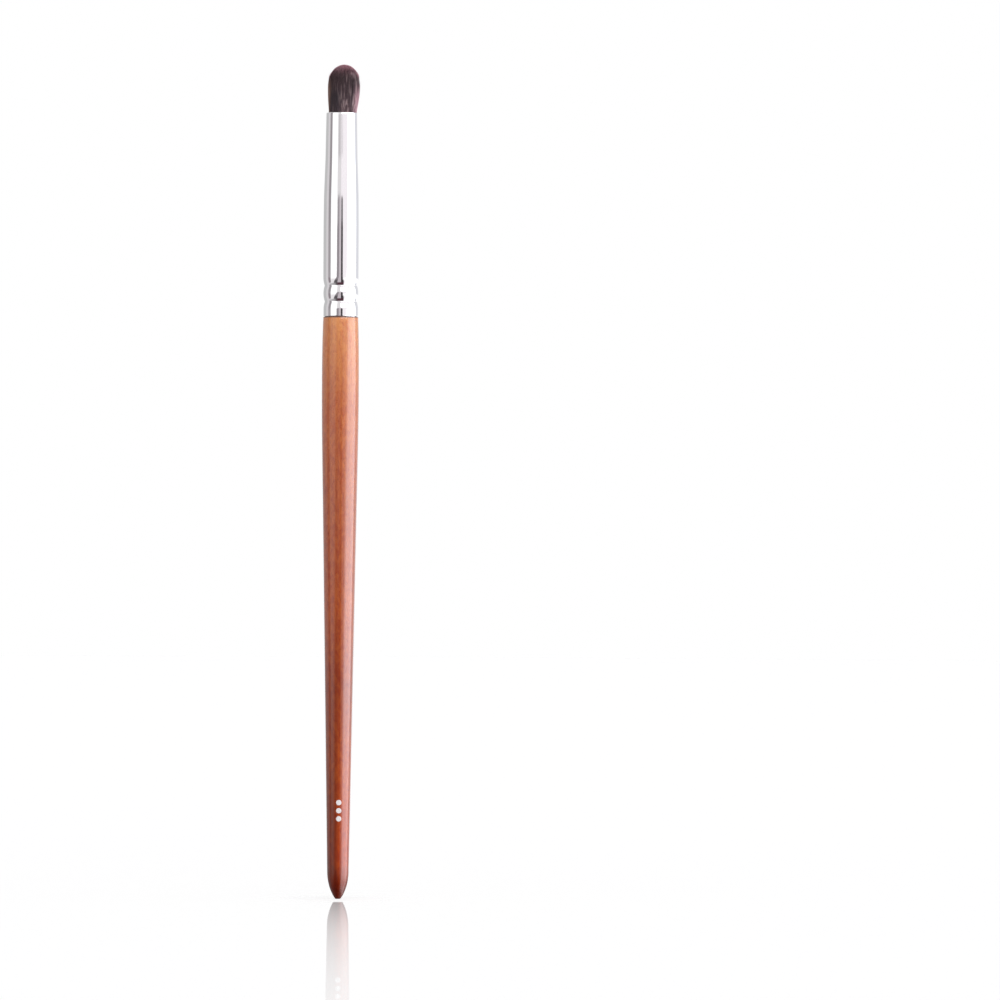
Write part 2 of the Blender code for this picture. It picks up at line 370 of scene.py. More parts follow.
@dataclass(frozen=True)
class LacqueredWood:
    """Turned hardwood under clear gloss lacquer, stained darker towards the butt.

    A span is a pair of places, in millimetres, where a change starts and where it is complete.
    """

    length: float
    tan_collar: Colour = swatch("df8f57")
    orange_brown: Colour = swatch("be6336")
    chestnut: Colour = swatch("b0562f")
    warm_brown: Colour = swatch("ae5024")
    red_brown: Colour = swatch("963b17")
    warm_red: Colour = swatch("ac4717")
    dark_red: Colour = swatch("a53a0f")
    dark_nose: Colour = swatch("5b1406")
    satin: Colour = (1.0, 0.38, 0.18, 1.0)
    streak_shade: Colour = (0.92, 0.88, 0.88, 1.0)
    streak_light: Colour = (1.06, 1.07, 1.04, 1.0)
    blotch_shade: Colour = (0.88, 0.72, 0.74, 1.0)
    blotch_light: Colour = (1.14, 1.26, 1.02, 1.0)
    calm_collar: Span = (92.0, 112.0)
    fleck_shade: Colour = (0.92, 0.66, 0.50, 1.0)
    pore_shade: Colour = (0.62, 0.52, 0.48, 1.0)
    # Painted shade: the wood is darkened on its left side, most towards the butt, where the light misses
    # it.
    painted_side_tone: Colour = (0.50, 0.50, 0.50, 1.0)
    painted_side_across: Span = (0.4, -1.1)
    painted_side_rise: Span = (66.0, 11.0)
    painted_side_nose: Span = (2.5, 6.5)
    joint_line: Colour = swatch("6f4737")
    joint_span: Span = (-0.32, -0.14)
    bare_tenon: Colour = swatch("c79f74")
    tenon_span: Span = (0.2, 0.4)
    thin_lacquer: float = 0.32
    nose_lacquer: Span = (3.0, 6.6)
    butt_lacquer: float = 0.58
    full_lacquer: Span = (5.0, 58.0)
    # A band of thinner coat along the lower front dims the lacquer's reflection there, as painted shade.
    reflection_shade_share: float = 0.6
    reflection_shade_left: Span = (-1.5, -0.5)
    reflection_shade_right: Span = (0.75, 0.15)
    reflection_shade_rise: Span = (96.0, 50.0)
    grain_depth: float = 0.00002

    def stained(self, surface: Surface, height: Wire) -> Wire:
        """The stain, from the dark nose to the tan collar under the ferrule.

        Args:
            surface: The wood under way.
            height: Height above the butt.

        Returns:
            The stain's colour.
        """
        recipe = surface.recipe
        drift = recipe.noise(surface.place, (0.35, 0.35, 0.05), detail=2.0)
        share = height / (self.length * MM_PER_METRE) + (drift - 0.5) * 0.04
        return recipe.ramp(
            share,
            (0.02, self.dark_nose),
            (0.065, self.dark_red),
            (0.22, self.warm_red),
            (0.36, self.red_brown),
            (0.50, self.warm_brown),
            (0.68, self.chestnut),
            (0.84, self.orange_brown),
            (1.0, self.tan_collar),
        )

    def mottled(self, surface: Surface, height: Wire, colour: Wire) -> Wire:
        """Soft blotches in the wood, which calm down towards the collar.

        Args:
            surface: The wood under way.
            height: Height above the butt.
            colour: The wood's colour so far.

        Returns:
            The blotched colour.
        """
        spread = (1.15, 1.15, 0.55)
        blotch = surface.recipe.noise(surface.place, spread, detail=2.5, roughness=0.5, bend=0.7)
        calm = 1.0 - 0.5 * height.eased(*self.calm_collar)
        mottle = 0.5 + (blotch.eased(0.3, 0.7) - 0.5) * calm
        return surface.recipe.toned(mottle, colour, self.blotch_shade, self.blotch_light)

    def lacquer(self, east: Wire, height: Wire) -> Wire:
        """The coat's weight: thinner towards the butt, and thinner still in a band along the lower front,
        where the dimmed reflection is painted shade.

        Args:
            east: Distance to the right of the axis.
            height: Height above the butt.

        Returns:
            The weight, from 0 to 1.
        """
        rise = self.butt_lacquer + (1.0 - self.butt_lacquer) * height.eased(*self.full_lacquer)
        # Painted shade: the band where the coat is thinned to dim its reflection.
        reflection_shade_band = east.eased(*self.reflection_shade_left) * east.eased(*self.reflection_shade_right) * height.eased(*self.reflection_shade_rise)
        coat = self.thin_lacquer + (1.0 - self.thin_lacquer) * (height.eased(*self.nose_lacquer) * rise)
        return coat * (1.0 - self.reflection_shade_share * reflection_shade_band)

    def dress(self) -> bpy.types.Material:
        """Builds the material.

        Returns:
            The lacquered wood.
        """
        surface = Surface(
            "lacquered_wood",
            Specular_IOR_Level=0.30,
            Specular_Tint=self.satin,
            Coat_Roughness=0.18,
            Coat_IOR=1.65,
        )
        recipe = surface.recipe
        place = surface.place
        east, _, height = recipe.split(place)
        grain = recipe.noise(place, (0.8, 0.8, 0.035), bend=0.5)
        patches = recipe.noise(place, (0.3, 0.3, 0.1), detail=1.0).eased(0.40, 0.60)
        ripple = recipe.noise(place, (1.5, 1.5, 1.3), detail=2.5, bend=0.7)
        pores = recipe.noise(place, (6.5, 6.5, 1.3), detail=2.0).eased(0.58, 0.67)
        colour = self.stained(surface, height)
        colour = recipe.toned(grain.eased(0.3, 0.7), colour, self.streak_shade, self.streak_light)
        colour = self.mottled(surface, height, colour)
        flecks = ripple.eased(0.48, 0.66) * (0.3 + 0.7 * patches)
        colour = recipe.shaded(flecks * 0.7, colour, self.fleck_shade)
        colour = recipe.shaded(pores * 0.55, colour, self.pore_shade)
        # Painted shade: darker on the left side towards the butt, easing off at the very nose.
        painted_side_shade = east.eased(*self.painted_side_across) * height.eased(*self.painted_side_rise) * height.eased(*self.painted_side_nose)
        colour = recipe.shaded(painted_side_shade, colour, self.painted_side_tone)
        above = height - self.length * MM_PER_METRE
        colour = recipe.mix(above.eased(*self.joint_span), colour, self.joint_line)
        colour = recipe.mix(above.eased(*self.tenon_span), colour, self.bare_tenon)
        surface.feed("Base Color", colour)
        surface.feed("Roughness", 0.38 + 0.16 * ripple)
        surface.feed("Coat Weight", self.lacquer(east, height))
        surface.bump(grain * 0.5 - pores, self.grain_depth, strength=0.5)
        return surface.material


@dataclass(frozen=True)
class PlatedMetal:
    """Bright plating on a drawn tube, with the faintest trace of polishing."""

    colour: Colour = (0.93, 0.925, 0.935, 1.0)
    handled: Colour = (0.88, 0.875, 0.885, 1.0)
    polish_depth: float = 0.0000006

    def dress(self) -> bpy.types.Material:
        """Builds the material.

        Returns:
            The plated metal.
        """
        surface = Surface("plated_metal", Metallic=1.0)
        film = surface.recipe.noise(surface.place, (0.5, 0.5, 0.25), detail=2.0)
        polish = surface.recipe.noise(surface.place, (0.8, 0.8, 14.0))
        surface.feed("Base Color", surface.recipe.mix(film, self.colour, self.handled))
        surface.feed("Roughness", 0.03 + 0.03 * film + 0.03 * polish)
        surface.bump(polish, self.polish_depth, strength=0.35)
        return surface.material


@dataclass(frozen=True)
class HairSpot:
    """What a point of the hair knows of itself."""

    risen: Wire
    lift: Wire
    across: Wire
    east: Wire
    single: Wire
    lock: Wire
    along: Wire
    streak: Wire


@dataclass(frozen=True)
class SoftHair:
    """Fine dark hair with lighter strands among it, paler near the ferrule and plum at the crown, with
    painted light and shade on its sides and rim.
    """

    tone: str
    foot: float
    dome_foot: float
    top: float
    radius: float
    lean: float = 0.0005
    deep: Colour = swatch("150a0c")
    middle: Colour = swatch("2a1b20")
    pale: Colour = swatch("b59e9f")
    root: Colour = swatch("6a5257")
    crown: Colour = swatch("c08793")
    # Colours of painted light and shade on the tuft: a pink highlight, a cool tone and a warm rim light.
    painted_pink_light: Colour = swatch("d9a9b4")
    painted_cool_tone: Colour = swatch("2e3238")
    painted_rim_russet: Colour = swatch("c09a88")
    gloss: Colour = (1.0, 0.72, 0.79, 1.0)
    sheen: Colour = swatch("e6b0bc")

    def risen_from(self, foot: float, height: Wire) -> Wire:
        """How far a height in millimetres has risen from a foot to the top, which is 1."""
        return (height - foot * MM_PER_METRE) / ((self.top - foot) * MM_PER_METRE)

    def look_up(self, surface: Surface) -> HairSpot:
        """Reads what the patterns depend on.

        Args:
            surface: The hair under way.

        Returns:
            The point's place in the tuft, and the tone that its strand carries.
        """
        recipe = surface.recipe
        east, _, height = recipe.split(surface.place)
        tone = recipe.node("ShaderNodeAttribute", {"attribute_name": self.tone}, None, out="Vector")
        single, lock, along = recipe.split(tone)
        risen = self.risen_from(self.foot, height)
        lift = self.risen_from(self.dome_foot, height)
        across = (east - risen * (self.lean * MM_PER_METRE)) / (self.radius * MM_PER_METRE)
        streak = recipe.noise(surface.place, (2.3, 2.3, 0.26), detail=2.0, roughness=0.6)
        return HairSpot(risen, lift, across, east, single, lock, along, streak)

    def streaked(self, surface: Surface, spot: HairSpot) -> Wire:
        """Dark locks, paler roots and pale streaks, most of them low down on the right; the lean to the
        right paints the light that falls from that side.

        Args:
            surface: The hair under way.
            spot: What the point knows of itself.

        Returns:
            The body's colour.
        """
        recipe = surface.recipe
        patch = recipe.noise(surface.place, (0.45, 0.45, 0.28), detail=1.0)
        # Painted light: the pale streaks gather towards the right, the lit side.
        patch = patch + spot.east * 0.075 - (spot.risen - 0.35) * 0.30
        body = recipe.mix(spot.lock.eased(0.36, 0.62), self.deep, self.middle)
        body = recipe.mix((1.0 - spot.along.eased(0.1, 0.55)) * 0.5, body, self.root)
        shine = spot.streak.eased(0.50, 0.61) * patch.eased(0.36, 0.70)
        return recipe.mix(shine * 0.9 + (spot.single ** 7.0) * 0.3, body, self.pale)

    def painted_sides(self, recipe: Recipe, spot: HairSpot, body: Wire) -> Wire:
        """Painted light and shade across the tuft: a cool tone left of the middle, a pink highlight on the
        right flank and a warm rim light on the left edge.

        Args:
            recipe: The material's recipe.
            spot: What the point knows of itself.
            body: The body's colour.

        Returns:
            The body's colour with its painted light and shade.
        """
        across, risen = spot.across, spot.risen
        painted_cool_tone = across.eased(0.1, -0.3) * across.eased(-0.9, -0.7) * risen.eased(0.6, 0.3)
        body = recipe.mix(painted_cool_tone * 0.65, body, self.painted_cool_tone)
        # Painted highlight: the right flank is lit pink, as if by the light on that side.
        flank = across.eased(0.64, 1.0) * risen.eased(0.66, 0.3)
        body = recipe.mix(flank * (0.3 + 0.7 * spot.streak), body, self.painted_pink_light)
        painted_warm_rim = across.eased(-0.66, -0.92) * risen.eased(0.8, 0.5)
        return recipe.mix(painted_warm_rim * (0.2 + 0.8 * spot.streak), body, self.painted_rim_russet)

    @staticmethod
    def plum_cap_and_rim_light(spot: HairSpot) -> Wire:
        """Where the plum shows: a ragged cap on the dome, partly the tips' own plum and partly painted
        light on the top, and a painted rim light round it, stronger on the left.

        Args:
            spot: What the point knows of itself.

        Returns:
            The cover, from 0 to 1.
        """
        across, lift = spot.across, spot.lift
        ragged = (spot.single - 0.5) * 0.2 + (spot.lock - 0.5) * 0.25
        left_rim_boost = 1.0 + 0.5 * across.eased(0.0, -0.6)
        # Painted rim light round the dome's outline.
        rim = (across * across + lift * lift + ragged).eased(0.86, 1.04) * lift.eased(0.05, 0.5) * left_rim_boost
        cap = (lift + ragged + (spot.streak - 0.5) * 0.7).eased(0.46, 1.0)
        return (rim + cap * 0.8 + spot.along.eased(0.95, 1.0) * 0.12).limited(0.0, 1.0)

    def dress(self) -> bpy.types.Material:
        """Builds the material, which reads the tone that each strand carries.

        Returns:
            The hair.
        """
        surface = Surface(
            "soft_hair",
            Roughness=0.38,
            Specular_IOR_Level=0.5,
            Specular_Tint=self.gloss,
            Sheen_Weight=0.12,
            Sheen_Roughness=0.4,
            Sheen_Tint=self.sheen,
        )
        recipe = surface.recipe
        spot = self.look_up(surface)
        body = self.painted_sides(recipe, spot, self.streaked(surface, spot))
        # Painted light: the plum goes paler towards the left of the crown.
        plum = recipe.mix(spot.across.eased(0.3, -0.7), self.crown, self.painted_pink_light)
        surface.feed("Base Color", recipe.mix(self.plum_cap_and_rim_light(spot), body, plum))
        return surface.material


@dataclass(frozen=True)
class Fibres:
    """Fine fibres side by side, from a shaded to a pale colour, such as thread or packed roots."""

    name: str
    shaded: Colour
    pale: Colour
    density: Triple
    rough: Span
    depth: float
    sheen: float = 0.0
    gloss: float = 0.4

    def dress(self) -> bpy.types.Material:
        """Builds the material.

        Returns:
            The fibres.
        """
        surface = Surface(self.name, Sheen_Weight=self.sheen, Specular_IOR_Level=self.gloss)
        fibres = surface.recipe.noise(surface.place, self.density)
        surface.feed("Base Color", surface.recipe.mix(fibres.eased(0.3, 0.7), self.shaded, self.pale))
        surface.feed("Roughness", self.rough[0] + (self.rough[1] - self.rough[0]) * fibres)
        surface.bump(fibres, self.depth)
        return surface.material


PACKED_ROOTS = Fibres(
    "packed_roots",
    shaded=swatch("241a1c"),
    pale=swatch("57464a"),
    density=(12.0, 12.0, 0.35),
    rough=(0.5, 0.7),
    depth=0.00003,
)
WAXED_THREAD = Fibres(
    "waxed_thread",
    shaded=swatch("a99f8c"),
    pale=swatch("ddd6c8"),
    density=(9.0, 9.0, 22.0),
    rough=(0.6, 0.85),
    depth=0.00001,
    sheen=0.2,
    gloss=0.35,
)


@dataclass(frozen=True)
class CuredResin:
    """Cast resin or glue: clouded, glossy, with small trapped bubbles."""

    name: str
    clear: Colour
    cloudy: Colour
    bubble_spread: float = 2.4
    bubble_edge: Span = (0.16, 0.08)
    depth: float = 0.00004

    def dress(self) -> bpy.types.Material:
        """Builds the material.

        Returns:
            The cured resin.
        """
        surface = Surface(self.name, Coat_Weight=0.4, Coat_Roughness=0.12)
        recipe = surface.recipe
        cloud = recipe.noise(surface.place, 0.9, detail=4.0, bend=0.8)
        sockets = {"Vector": surface.place, "Scale": self.bubble_spread}
        spots = recipe.node("ShaderNodeTexVoronoi", None, sockets, out="Distance")
        bubbles = spots.eased(*self.bubble_edge)
        colour = recipe.mix(cloud.eased(0.35, 0.65), self.clear, self.cloudy)
        surface.feed("Base Color", recipe.mix(bubbles * 0.5, colour, WHITE))
        surface.feed("Roughness", 0.22 + 0.25 * cloud)
        surface.bump(cloud - bubbles, self.depth)
        return surface.material


@dataclass(frozen=True)
class PaleInk:
    """White printing ink, thin enough to take a little of the wood's warmth."""

    full: Colour = swatch("f3eeee")
    thin: Colour = swatch("dcc3bc")
    depth: float = 0.000002

    def dress(self) -> bpy.types.Material:
        """Builds the material.

        Returns:
            The ink.
        """
        surface = Surface("pale_ink", Specular_IOR_Level=0.4, Coat_Weight=0.3, Coat_Roughness=0.2)
        cover = surface.recipe.noise(surface.place, 6.0)
        surface.feed("Base Color", surface.recipe.mix(cover.eased(0.6, 0.75), self.full, self.thin))
        surface.feed("Roughness", 0.4 + 0.2 * cover)
        surface.bump(cover, self.depth)
        return surface.material


# Making meshes


def add_piece(name: str, mesh: bpy.types.Mesh, material: bpy.types.Material) -> bpy.types.Object:
    """Puts a mesh into the scene as a smooth piece.

    Args:
        name: The piece's name.
        mesh: Its finished mesh.
        material: Its finish.

    Returns:
        The new object, at the origin.
    """
    mesh.materials.clear()
    mesh.materials.append(material)
    mesh.shade_smooth()
    piece = bpy.data.objects.new(name, mesh)
    bpy.context.scene.collection.objects.link(piece)
    return piece


def hand_over(piece: bpy.types.Object, slot: Slot, *nodes: str) -> None:
    """Ties a finished piece to the frame.

    Args:
        piece: The finished piece.
        slot: The record's slot that its finish belongs to, which is only logged.
        nodes: The CAD nodes that it stands for.
    """
    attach(piece, BODY)
    if nodes:
        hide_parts(*nodes)
    LOG.info("%s: %d faces, slot %s", piece.name, len(piece.data.polygons), slot.value)


@dataclass
class Lathe:
    """Turns an outline of (radius, height) rings about the brush's axis."""

    facets: int
    ripple: Callable[[float], float] | None = None

    def turn(self, name: str, outline: Sequence[Ring], looped: bool = False) -> bpy.types.Mesh:
        """Makes the turned mesh.

        Args:
            name: The mesh's name.
            outline: Rings from the first to the last.
            looped: Whether the last ring joins the first, as on a tube with a wall.

        Returns:
            A closed mesh whose faces point outwards.
        """
        shape = bmesh.new()
        rings = [self.add_ring(shape, radius, height) for radius, height in outline]
        pairs = list(zip(rings, rings[1:]))
        if looped:
            pairs.append((rings[-1], rings[0]))
        for lower, upper in pairs:
            for spot in range(self.facets):
                after = (spot + 1) % self.facets
                shape.faces.new((lower[spot], lower[after], upper[after], upper[spot]))
        if not looped:
            self.close_end(shape, rings[0], outline[0][1])
            self.close_end(shape, rings[-1], outline[-1][1])
        bmesh.ops.recalc_face_normals(shape, faces=shape.faces)
        mesh = bpy.data.meshes.new(name)
        shape.to_mesh(mesh)
        shape.free()
        return mesh

    def add_ring(self, shape: bmesh.types.BMesh, radius: float, height: float) -> list[bmesh.types.BMVert]:
        """Adds one ring of points, with the lathe's ripple.

        Args:
            shape: The mesh under way.
            radius: The ring's radius.
            height: The ring's height.

        Returns:
            The ring's points, anticlockwise from above.
        """
        ring = []
        for spot in range(self.facets):
            angle = math.tau * spot / self.facets
            reach = radius + (self.ripple(angle) if self.ripple else 0.0)
            ring.append(shape.verts.new((reach * math.cos(angle), reach * math.sin(angle), height)))
        return ring

    def close_end(self, shape: bmesh.types.BMesh, ring: list[bmesh.types.BMVert], height: float) -> None:
        """Closes one end with a fan about a point on the axis.

        Args:
            shape: The mesh under way.
            ring: The ring at that end.
            height: The ring's height.
        """
        middle = shape.verts.new((0.0, 0.0, height))
        for spot in range(self.facets):
            shape.faces.new((ring[spot], ring[(spot + 1) % self.facets], middle))


class Grower:
    """A Geometry Nodes tree with named inputs, and the plain mesh that it makes."""

    def __init__(self, name: str) -> None:
        """Starts an empty tree.

        Args:
            name: Name of the tree and of the piece that it makes.
        """
        self.name = name
        self.tree = bpy.data.node_groups.new(name, "GeometryNodeTree")
        self.tree.interface.new_socket("Geometry", in_out="OUTPUT", socket_type="NodeSocketGeometry")
        self.recipe = Recipe(self.tree)
        self.entry = self.tree.nodes.new("NodeGroupInput")
        self.values: dict[str, Any] = {}

    def size(self, name: str, value: float | bpy.types.Material) -> Wire:
        """Adds a named input to the tree.

        Args:
            name: The input's name.
            value: A whole number, a length or a material.

        Returns:
            The input's value inside the tree.
        """
        kind = "NodeSocketFloat"
        if isinstance(value, int):
            kind = "NodeSocketInt"
        elif isinstance(value, bpy.types.Material):
            kind = "NodeSocketMaterial"
        socket = self.tree.interface.new_socket(name, in_out="INPUT", socket_type=kind)
        self.values[socket.identifier] = value
        return Wire(self.recipe, self.entry.outputs[name])

    def lines(self, count: Wire, points: Wire) -> tuple[Wire, Wire, Wire]:
        """Starts a number of equal lines, whose points are placed later.

        Args:
            count: How many lines.
            points: How many points each has.

        Returns:
            The lines, each point's line and its place on it, both as whole numbers from 0.
        """
        recipe = self.recipe
        line = recipe.node("GeometryNodeCurvePrimitiveLine", None, {"End": (0.0, 0.0, 1.0)})
        one = recipe.node("GeometryNodeResampleCurve", None, {"Curve": line, "Count": points})
        sockets = {"Geometry": one, "Amount": count}
        every = recipe.node("GeometryNodeDuplicateElements", {"domain": "SPLINE"}, sockets)
        index = recipe.node("GeometryNodeInputIndex")
        number = ((index + 0.5) / points).apply("FLOOR")
        return every, number, index - number * points

    def moved(self, shape: Wire, place: Wire) -> Wire:
        """The shape with its points at their new places."""
        return self.recipe.node("GeometryNodeSetPosition", None, {"Geometry": shape, "Position": place})

    def tubes(self, curves: Wire, sides: int, radius: float, scale: Wire) -> Wire:
        """Turns curves into closed tubes.

        Args:
            curves: The curves.
            sides: Faces round a tube.
            radius: Radius at a scale of 1.
            scale: The tube's scale at each point.

        Returns:
            The tubes.
        """
        sockets = {"Resolution": sides, "Radius": radius}
        profile = self.recipe.node("GeometryNodeCurvePrimitiveCircle", None, sockets, out="Curve")
        sockets = {"Curve": curves, "Profile Curve": profile, "Scale": scale, "Fill Caps": True}
        return self.recipe.node("GeometryNodeCurveToMesh", None, sockets)

    def grow(self, shape: Wire, material: bpy.types.Material) -> bpy.types.Object:
        """Ends the tree and turns its result into a plain piece.

        Args:
            shape: The tree's geometry so far.
            material: The piece's finish.

        Returns:
            The piece, with no modifier left on it.
        """
        finish = self.size("Finish", material)
        real = self.recipe.node("GeometryNodeRealizeInstances", None, {"Geometry": shape})
        dressed = self.recipe.node("GeometryNodeSetMaterial", None, {"Geometry": real, "Material": finish})
        leaving = self.tree.nodes.new("NodeGroupOutput")
        self.tree.links.new(dressed.socket, leaving.inputs["Geometry"])
        seedbed = bpy.data.objects.new(self.name + "_seedbed", bpy.data.meshes.new(self.name + "_seedbed"))
        bpy.context.scene.collection.objects.link(seedbed)
        modifier = seedbed.modifiers.new("grow", "NODES")
        modifier.node_group = self.tree
        for identifier, value in self.values.items():
            modifier[identifier] = value
        graph = bpy.context.evaluated_depsgraph_get()
        grown = bpy.data.meshes.new_from_object(
            seedbed.evaluated_get(graph), preserve_all_data_layers=True, depsgraph=graph
        )
        grown.name = self.name
        seedbed.modifiers.remove(modifier)
        bpy.data.objects.remove(seedbed)
        return add_piece(self.name, grown, material)


# Sub-assemblies


@dataclass(frozen=True)
class Bend:
    """A soft change of slope in a turned profile."""

    start: float
    reach: float
    slope: float

    def shift(self, height: float) -> float:
        """How far the profile has moved from its old line.

        Args:
            height: Height above the profile's foot.

        Returns:
            The shift in radius.
        """
        share = min(1.0, max(0.0, (height - self.start) / self.reach))
        eased = self.reach * (share**3 - share**4 / 2)
        return self.slope * (eased + max(0.0, height - self.start - self.reach))


@dataclass
class Ferrule:
    """The crimped tube: its sizes, and the bore that everything inside it follows."""

    foot: float = 0.12575
    length: float = 0.04397
    wall: float = 0.0003
    foot_radius: float = 0.00375
    barrel_radius: float = 0.00383
    bends: tuple[Bend, ...] = (
        Bend(0.0180, 0.003, -0.0090),
        Bend(0.0250, 0.002, -0.0260),
        Bend(0.0325, 0.003, 0.0183),
    )
    first_groove: float = 0.00322
    groove_spacing: float = 0.00345
    groove_count: int = 2
    groove_depth: float = 0.00028
    groove_width: float = 0.0034
    foot_round: float = 0.00010
    round_steps: int = 5
    crimp_steps: int = 110
    plain_steps: int = 90
    lip_steps: int = 12
    facets: int = 160

    @property
    def collar(self) -> float:
        """Height above the foot at which the crimped stretch ends."""
        return self.first_groove + self.groove_spacing * self.groove_count

    @property
    def mouth(self) -> float:
        """Height of the top of the lip."""
        return self.foot + self.length

    def radius(self, height: float) -> float:
        """Outer radius of the tube.

        Args:
            height: Height above the foot.

        Returns:
            The radius there.
        """
        radius = blend(self.foot_radius, self.barrel_radius, smooth(height / self.collar))
        radius += sum(bend.shift(height) for bend in self.bends)
        for count in range(self.groove_count):
            groove = self.first_groove + self.groove_spacing * count
            offset = min(1.0, abs(height - groove) * 2 / self.groove_width)
            radius -= self.groove_depth * (1 - offset) ** 2
        return radius

    def lining(self, height: float) -> float:
        """Radius of what lines the bore at a height above the foot, clear of it by the fit's gap."""
        return self.radius(height) - self.wall - FIT_GAP

    def outline(self) -> list[Ring]:
        """The section of the tube.

        Returns:
            Rings up the outside, over the lip and down the bore.
        """
        lip = self.wall / 2
        rings = []
        for turn in steps(0.0, QUARTER_TURN, self.round_steps):
            inset = self.foot_round * (1 - math.sin(turn))
            lift = self.foot_round * (1 - math.cos(turn))
            rings.append((self.radius(lift) - inset, self.foot + lift))
        crimped = steps(self.foot_round, self.collar, self.crimp_steps)[1:]
        plain = steps(self.collar, self.length - lip, self.plain_steps)[1:]
        outside = crimped + plain
        rings += [(self.radius(height), self.foot + height) for height in outside]
        middle = self.radius(self.length) - lip
        for turn in steps(0.0, math.pi, self.lip_steps)[1:-1]:
            rings.append((middle + lip * math.cos(turn), self.mouth - lip + lip * math.sin(turn)))
        rings += [(self.radius(height) - self.wall, self.foot + height) for height in reversed(outside)]
        rings.append((self.radius(0.0) - self.wall, self.foot))
        return rings

    def build(self) -> None:
        """Makes the ferrule and ties it to the frame."""
        mesh = Lathe(self.facets).turn("crimped_ferrule", self.outline(), looped=True)
        piece = add_piece("crimped_ferrule", mesh, PlatedMetal().dress())
        hand_over(piece, Slot.METAL, "ferrule")


@dataclass
class Handle:
    """The turned handle, from its butt to the tenon inside the ferrule."""

    ferrule: Ferrule
    length: float = 0.12567
    butt_radius: float = 0.0005
    nose_length: float = 0.0060
    nose_radius: float = 0.00233
    nose_power: float = 0.83
    nose_crowding: float = 1.6
    swell_foot: float = 0.0845
    swell_radius: float = 0.00365
    belly_height: float = 0.1100
    belly_radius: float = 0.0040
    shoulder_radius: float = 0.00377
    shoulder_power: float = 3.0
    shoulder_round: float = 0.00010
    glue_film: float = 0.00015
    tenon_reach: float = 0.00465
    tenon_chamfer: float = 0.0005
    nose_steps: int = 40
    cone_steps: int = 60
    swell_steps: int = 40
    shoulder_steps: int = 24
    round_steps: int = 5
    tenon_steps: int = 60
    facets: int = 144

    @property
    def slope(self) -> float:
        """Growth of the cone's radius with height."""
        return (self.swell_radius - self.nose_radius) / (self.swell_foot - self.nose_length)

    def nose(self, height: float) -> float:
        """Radius of the rounded nose."""
        fullness = (1 - (1 - height / self.nose_length) ** 2) ** self.nose_power
        return blend(self.butt_radius, self.nose_radius, fullness)

    def cone(self, height: float) -> float:
        """Radius of the long straight cone."""
        return self.nose_radius + self.slope * (height - self.nose_length)

    def swell(self, height: float) -> float:
        """Radius of the swell, which leaves the cone at the cone's slope.

        Args:
            height: Height above the butt.

        Returns:
            The radius there.
        """
        reach = self.belly_height - self.swell_foot
        share = (height - self.swell_foot) / reach
        carried = share * (1 - share) ** 2 * self.slope * reach
        return blend(self.swell_radius, self.belly_radius, smooth(share)) + carried

    def shoulder(self, height: float) -> float:
        """Radius of the shoulder above the belly."""
        share = (height - self.belly_height) / (self.length - self.belly_height)
        return blend(self.belly_radius, self.shoulder_radius, share**self.shoulder_power)

    def outline(self) -> list[Ring]:
        """The half section of the handle.

        Returns:
            Rings from the butt to the end of the tenon.
        """
        edge = self.length - self.shoulder_round
        crowded = [share**self.nose_crowding for share in steps(0.0, 1.0, self.nose_steps)]
        stretches = (
            (self.nose, [self.nose_length * share for share in crowded]),
            (self.cone, steps(self.nose_length, self.swell_foot, self.cone_steps)[1:]),
            (self.swell, steps(self.swell_foot, self.belly_height, self.swell_steps)[1:]),
            (self.shoulder, steps(self.belly_height, edge, self.shoulder_steps)[1:]),
        )
        rings = [(radius(height), height) for radius, heights in stretches for height in heights]
        for turn in steps(0.0, QUARTER_TURN, self.round_steps)[1:]:
            inset = self.shoulder_round * (1 - math.cos(turn))
            rings.append((self.shoulder_radius - inset, edge + self.shoulder_round * math.sin(turn)))
        return rings + self.tenon()

    def tenon(self) -> list[Ring]:
        """The tenon: pressed in by the crimps, then thinner where the glue is, with a chamfered end.

        Returns:
            Rings from the shoulder to the end of the tenon.
        """
        ferrule = self.ferrule
        rings = [(ferrule.lining(0.0), self.length)]
        for height in steps(0.0, ferrule.collar, self.tenon_steps):
            rings.append((ferrule.lining(height), ferrule.foot + height))
        glued = ferrule.lining(ferrule.collar) - self.glue_film - FIT_GAP
        top = ferrule.foot + ferrule.collar + self.tenon_reach
        rings.append((glued, ferrule.foot + ferrule.collar))
        rings.append((glued, top - self.tenon_chamfer))
        rings.append((glued - self.tenon_chamfer, top))
        return rings

    def build(self) -> None:
        """Makes the handle and ties it to the frame."""
        mesh = Lathe(self.facets).turn("turned_handle", self.outline())
        piece = add_piece("turned_handle", mesh, LacqueredWood(self.length).dress())
        mesh.set_sharp_from_angle(angle=SHARP_ANGLE)
        hand_over(piece, Slot.WOOD, "handle")


